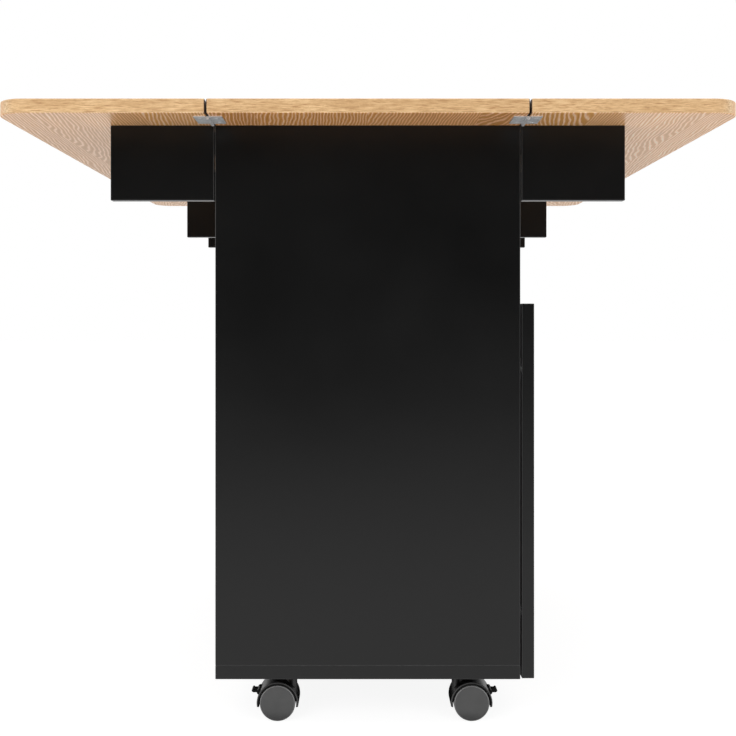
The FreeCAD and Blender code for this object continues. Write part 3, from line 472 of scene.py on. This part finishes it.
# %% One screw head
HEAD_RADIUS = 0.0027
HEAD_DEPTH = 0.0011
HEAD_SHOWS = 0.0004
HEAD_SIDES = 32
RIM_WIDTH = 0.0002
SLOT_LONG = 0.0034
SLOT_WIDE = 0.0007
SLOT_DEEP = 0.0006


def shaped_block(size, lift):
    """A block of one size, shaped in edit mode, its middle lifted above the origin."""
    bpy.ops.object.select_all(action="DESELECT")
    bpy.ops.mesh.primitive_cube_add(size=1)
    bpy.ops.object.mode_set(mode="EDIT")
    bpy.ops.mesh.select_all(action="SELECT")
    bpy.ops.transform.resize(value=size)
    bpy.ops.transform.translate(value=(0, 0, lift))
    bpy.ops.object.mode_set(mode="OBJECT")
    return bpy.context.object


def screw_head():
    """A head that looks up and stands a little proud of the origin, with a cross cut into it."""
    bpy.ops.object.select_all(action="DESELECT")
    bpy.ops.mesh.primitive_cylinder_add(vertices=HEAD_SIDES, radius=HEAD_RADIUS, depth=HEAD_DEPTH)
    head = bpy.context.object
    bpy.ops.object.mode_set(mode="EDIT")
    bpy.ops.mesh.select_all(action="SELECT")
    bpy.ops.transform.translate(value=(0, 0, HEAD_SHOWS - HEAD_DEPTH / 2))
    bpy.ops.object.mode_set(mode="OBJECT")
    rim = head.modifiers.new("rim", "BEVEL")
    rim.width = RIM_WIDTH
    rim.segments = 2
    bpy.ops.object.modifier_apply(modifier="rim")
    for size in ((SLOT_LONG, SLOT_WIDE, 2 * SLOT_DEEP), (SLOT_WIDE, SLOT_LONG, 2 * SLOT_DEEP)):
        cutter = shaped_block(size, HEAD_SHOWS)
        slot = head.modifiers.new("slot", "BOOLEAN")
        slot.operation = "DIFFERENCE"
        slot.solver = "EXACT"
        slot.object = cutter
        bpy.context.view_layer.objects.active = head
        bpy.ops.object.modifier_apply(modifier="slot")
        bpy.data.objects.remove(cutter)
    return head


pattern_head = screw_head()
print("screw head of", len(pattern_head.data.polygons), "faces")

# %% Places of the screws
PLATE_SHEET = 0.0015
PLATE_OFF = 0.01125
PLATE_STEP = 0.015
ROW_GAP = 0.1
FOOT_SHEET = 0.0025
FOOT_BACK = 0.042
FOOT_INSET = 0.095
FOOT_STEP = 0.0125
LOOK_DOWN = (math.pi, 0, 0)
LOOK_NEAR = (math.pi / 2, 0, 0)
LOOK_FAR = (-math.pi / 2, 0, 0)


def rows_along(node):
    """Middles, along the island, of the pieces of a node that stand apart."""
    spots = sorted(vertex.co.y for vertex in solids[node].data.vertices)
    rows = [spots[:1]]
    for spot in spots:
        if spot - rows[-1][-1] > ROW_GAP:
            rows.append([])
        rows[-1].append(spot)
    return [(row[0] + row[-1]) / 2 for row in rows]


top_low, top_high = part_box("centre_top")
door_low, door_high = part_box("near_door")
part_low, part_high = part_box("partition")
joint_x = (top_high.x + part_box("right_leaf")[0].x) / 2
plate_z = top_low.z - PLATE_SHEET
hinge_rows = rows_along("top_hinge_pins")
foot_x = part_high.x - FOOT_BACK
foot_levels = (door_low.z + FOOT_INSET, door_high.z - FOOT_INSET)
near_foot_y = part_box("near_end_panel")[1].y + FOOT_SHEET
far_foot_y = part_low.y - FOOT_SHEET
print("hinge rows", [round(y, 4) for y in hinge_rows], "feet at", [round(z, 4) for z in foot_levels])

# %% Screws for each body
def top_screws(x):
    """Places of the screws in one row of plates under the top, all looking down."""
    steps = (-PLATE_STEP, PLATE_STEP)
    return [((x, y + step, plate_z), LOOK_DOWN) for y in hinge_rows for step in steps]


def foot_screws(y, turn):
    """Places of the screws in the feet of one door's hinge arms."""
    steps = (-FOOT_STEP, FOOT_STEP)
    return [((foot_x, y, z + step), turn) for z in foot_levels for step in steps]


def drive(name, places, body):
    """Copy the head to each place, join the copies and let them ride one body."""
    heads = []
    for place, turn in places:
        copy = bpy.data.objects.new(name, pattern_head.data.copy())
        bpy.context.scene.collection.objects.link(copy)
        copy.rotation_euler = turn
        copy.location = place
        heads.append(copy)
    bpy.context.view_layer.update()
    bpy.ops.object.select_all(action="DESELECT")
    for head in heads:
        head.select_set(True)
    bpy.context.view_layer.objects.active = heads[0]
    bpy.ops.object.transform_apply(location=True, rotation=True, scale=True)
    bpy.ops.object.join()
    heads[0].name = name
    heads[0].data.materials.clear()
    heads[0].data.materials.append(zinc_plate)
    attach(heads[0], body)
    print(name, len(places), "screws")


for side, sign in (("left", -1), ("right", 1)):
    drive(side + "_leaf_screws", top_screws(sign * (joint_x + PLATE_OFF)), side + "_leaf_body")
fixed = top_screws(joint_x - PLATE_OFF) + top_screws(PLATE_OFF - joint_x)
fixed += foot_screws(near_foot_y, LOOK_FAR) + foot_screws(far_foot_y, LOOK_NEAR)
drive("cabinet_screws", fixed, "cabinet")
bpy.data.objects.remove(pattern_head)

# %% [markdown]
# ## Handles and catches
# The bow handles are powder-coated steel, which has a much finer peel than foil. The catches are small
# matt plastic boxes. Both carry a painted highlight on their rounded edges.

# %% Powder coat and matt plastic
CLOUDY_GRAIN = 40
EDGE_HIGHLIGHT_LOW = 0.8
ROUND_TO_RIM = (0.2, 0.45)
RIM_TO_SIDE = (0.9, 0.98)


def rounded_rim(tree, place):
    """1 on the rounded rims of a turned piece, between its flat sides and its round outside."""
    endways = facing(tree, place)[1]
    off_round = spread(tree, endways, 0, 1, *ROUND_TO_RIM)
    off_flat = spread(tree, endways, 1, 0, *RIM_TO_SIDE)
    return combine(tree, "MULTIPLY", off_round, off_flat)


def fine_grained(name, tones, edge, grain, gloss, where, mirror=0.5):
    """A moulded or coated surface: two tones, a painted highlight on the masked edges, a fine grain, a range
    of roughness.
    """
    finish, tree, shader, place = start_finish(name)
    skin = speckle(tree, place, grey(grain), detail=3, rough=0.6)
    cloud = speckle(tree, place, grey(CLOUDY_GRAIN))
    flat = two_tones(tree, cloud, grey(tones[0]), grey(tones[1]))
    # The paler edge tone is a painted highlight.
    edge_highlight = two_tones(tree, skin, grey(EDGE_HIGHLIGHT_LOW * edge), grey(edge))
    tree.links.new(layer(tree, where(tree, place), flat, edge_highlight), shader.inputs["Base Color"])
    tree.links.new(spread(tree, skin, *gloss), shader.inputs["Roughness"])
    shader.inputs["Specular IOR Level"].default_value = mirror
    relief(tree, shader, skin, depth=0.0001, strength=0.2)
    return finish


powder = fine_grained(
    "powder_black",
    tones=(0.008, 0.013),
    edge=0.02,
    grain=1800,
    gloss=(0.36, 0.5),
    where=rounded_rim,
)
matt = fine_grained(
    "matt_black_plastic",
    tones=(0.014, 0.02),
    edge=0.03,
    grain=2400,
    gloss=(0.5, 0.62),
    where=board_edge,
)
dress(powder, ["near_door_handle", "far_door_handle"])
dress(matt, ["door_catches"])

# %% [markdown]
# ## Casters
# The hoods and brake levers are glossy black nylon, which mirrors little head on and much at a slant.
# The wheels are a dark grey plastic, paler and rougher than the hoods. On both, the rounded rims are
# painted paler as a painted highlight.

# %% Nylon hoods, levers and wheels
nylon = fine_grained(
    "gloss_black_nylon",
    tones=(0.005, 0.008),
    edge=0.1,
    grain=700,
    gloss=(0.26, 0.34),
    where=rounded_rim,
    mirror=0.1,
)
tread = fine_grained(
    "grey_wheel_plastic",
    tones=(0.058, 0.073),
    edge=0.26,
    grain=1500,
    gloss=(0.3, 0.4),
    where=rounded_rim,
)
dress(nylon, [name for name in solids if name.endswith(("_hood", "_brake"))])
dress(tread, [name for name in solids if name.endswith("_wheels")])

# %% [markdown]
# ## Floor and light
# The island stands on a plain white floor in an even white room. The floor and the room are white to the
# eye and in reflections, while the light that reaches the object stays at a plain level. A dark card
# behind the camera, as a product photographer would use, keeps the upper part of the black end panel
# from mirroring the white room. A second one lies under the cabinet as painted shade: only mirrors see
# it, and it stands for the shade that a real floor has there.

# %% White floor
WHITE = (1, 1, 1, 1)
FLOOR_SIZE = 60
FLOOR_DROP = 0.0004
PAPER_TONE = (*grey(0.88), 1)
SHADOW_TONE = (*grey(0.22), 1)
FLOOR_GLOW = 0.9


def seen_directly(tree):
    """1 for what the eye, a mirror or glass sees, 0 for light that falls on the object."""
    path = tree.nodes.new("ShaderNodeLightPath")
    eye, mirror, glass = (path.outputs[f"Is {ray} Ray"] for ray in ("Camera", "Glossy", "Transmission"))
    return combine(tree, "MAXIMUM", combine(tree, "MAXIMUM", eye, mirror), glass)


def show_apart(tree, lit, seen, output):
    """One shader for the light that falls on the object, another for what is seen directly."""
    mix = tree.nodes.new("ShaderNodeMixShader")
    tree.links.new(seen_directly(tree), mix.inputs[0])
    tree.links.new(lit, mix.inputs[1])
    tree.links.new(seen, mix.inputs[2])
    out = tree.nodes.new(output)
    tree.links.new(mix.outputs["Shader"], out.inputs["Surface"])


def floor_finish():
    """White paper that glows to the eye and still takes the shadow of the object."""
    finish = bpy.data.materials.new("floor_white")
    finish.use_nodes = True
    tree = finish.node_tree
    tree.nodes.clear()
    paper = add_node(tree, "ShaderNodeBsdfDiffuse", {"Color": PAPER_TONE})
    shadow = add_node(tree, "ShaderNodeBsdfDiffuse", {"Color": SHADOW_TONE})
    glow = add_node(tree, "ShaderNodeEmission", {"Color": WHITE, "Strength": FLOOR_GLOW})
    seen = tree.nodes.new("ShaderNodeAddShader")
    tree.links.new(shadow.outputs["BSDF"], seen.inputs[0])
    tree.links.new(glow.outputs["Emission"], seen.inputs[1])
    show_apart(tree, paper.outputs["BSDF"], seen.outputs["Shader"], "ShaderNodeOutputMaterial")
    return finish


bpy.ops.object.select_all(action="DESELECT")
bpy.ops.mesh.primitive_plane_add(size=FLOOR_SIZE, location=(0, 0, -FLOOR_DROP))
floor = bpy.context.object
floor.name = "floor"
floor.data.materials.append(floor_finish())
print("floor at", round(floor.location.z, 4))

# %% White room
ROOM_LIGHT = 0.5
ROOM_SEEN = 1.0

room = bpy.data.worlds.new("white_room")
room.use_nodes = True
bpy.context.scene.world = room
room.node_tree.nodes.clear()
fill = add_node(room.node_tree, "ShaderNodeBackground", {"Color": WHITE, "Strength": ROOM_LIGHT})
white = add_node(room.node_tree, "ShaderNodeBackground", {"Color": WHITE, "Strength": ROOM_SEEN})
walls = (fill.outputs["Background"], white.outputs["Background"])
show_apart(room.node_tree, *walls, "ShaderNodeOutputWorld")
print("room light", ROOM_LIGHT)

# %% Dark cards
CARD_TONE = (*grey(0.01), 1)
CARD_ROUGH = 0.9
CARD_DROP = 0.0002

card_black = bpy.data.materials.new("card_black")
card_black.use_nodes = True
card_black.node_tree.nodes["Principled BSDF"].inputs["Base Color"].default_value = CARD_TONE
card_black.node_tree.nodes["Principled BSDF"].inputs["Roughness"].default_value = CARD_ROUGH


def dark_card(name, place, size, turn):
    """A black sheet that only mirrors see."""
    bpy.ops.object.select_all(action="DESELECT")
    bpy.ops.mesh.primitive_plane_add(size=1, location=place)
    card = bpy.context.object
    card.name = name
    card.scale = (*size, 1)
    card.rotation_euler = (math.radians(turn), 0, 0)
    bpy.ops.object.transform_apply(location=False, rotation=True, scale=True)
    card.visible_camera = False
    card.visible_diffuse = False
    card.visible_shadow = False
    card.data.materials.append(card_black)
    print(name, [round(v, 2) for v in card.dimensions])


dark_card("card_behind_camera", place=(0, -3.0, 1.5), size=(5, 3), turn=-90)
# Painted shade: this card stands for the shade of the floor under the cabinet, in reflections only.
dark_card("shade_card_under_cabinet", place=(0, 0, -CARD_DROP), size=(0.46, 0.95), turn=0)

# %% Soft lamps
BODY_HEART = (0, 0, 0.6)


def soft_lamp(name, place, aim, size, power):
    """A square soft light at a place, turned to a point."""
    data = bpy.data.lights.new(name, "AREA")
    data.size = size
    data.energy = power
    lamp = bpy.data.objects.new(name, data)
    lamp.location = place
    lamp.rotation_euler = (Vector(aim) - Vector(place)).to_track_quat("-Z", "Y").to_euler()
    lamp.visible_camera = False
    lamp.visible_glossy = False
    bpy.context.scene.collection.objects.link(lamp)
    print(name, "lamp of", power, "W")


soft_lamp("overhead", place=(0, 0, 3.2), aim=(0, 0, 0.5), size=3.0, power=30)
soft_lamp("front_left", place=(-1.6, -3.0, 2.0), aim=BODY_HEART, size=2.0, power=40)
soft_lamp("front_right", place=(1.8, -2.8, 1.6), aim=BODY_HEART, size=2.0, power=24)
